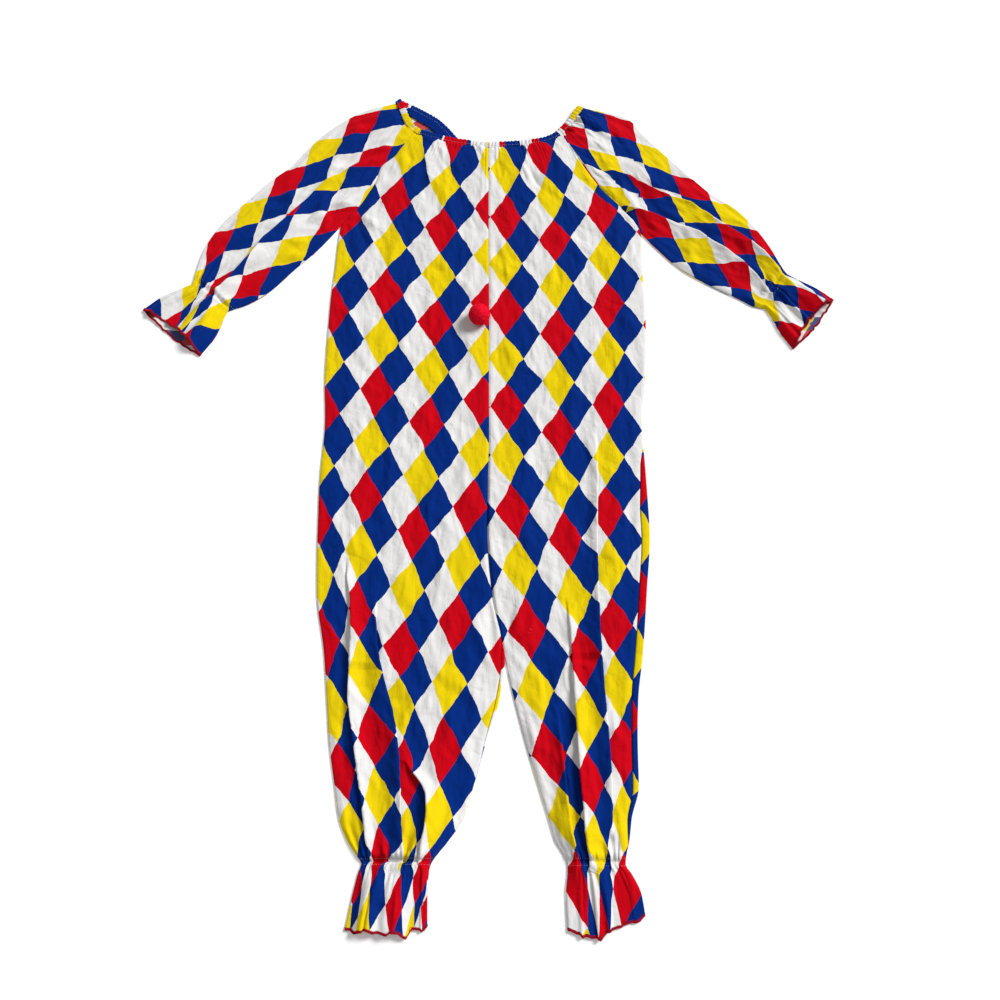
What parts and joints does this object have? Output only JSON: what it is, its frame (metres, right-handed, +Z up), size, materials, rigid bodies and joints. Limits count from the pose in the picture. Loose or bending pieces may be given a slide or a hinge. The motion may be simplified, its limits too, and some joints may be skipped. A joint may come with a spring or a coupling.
{
  "type": "clown jumpsuit",
  "caption": "Clown jumpsuit laid flat, harlequin diamond cloth with raglan sleeves, gathered elastic neck, ruffled wrists and ankles, and a round pompom on the chest",
  "frame": {"origin": "centre of the bounding box in plan, on the surface the jumpsuit lies on", "axes": "+Z up out of the cloth, +Y toward the neck, +X toward the wearer's left sleeve"},
  "size_m": [0.7755, 0.9486, 0.0263],
  "materials": {
    "harlequin_cloth": "matt woven print",
    "neck_casing": "matt gathered cloth over elastic",
    "pompom": "soft matt fibre"
  },
  "bodies": {
    "root": {"front_right": "harlequin_cloth", "front_left": "harlequin_cloth", "back_right": "harlequin_cloth", "back_left": "harlequin_cloth", "sleeve_right": "harlequin_cloth", "sleeve_left": "harlequin_cloth", "neck_casing": "neck_casing", "pompom": "pompom"}
  },
  "joints": []
}
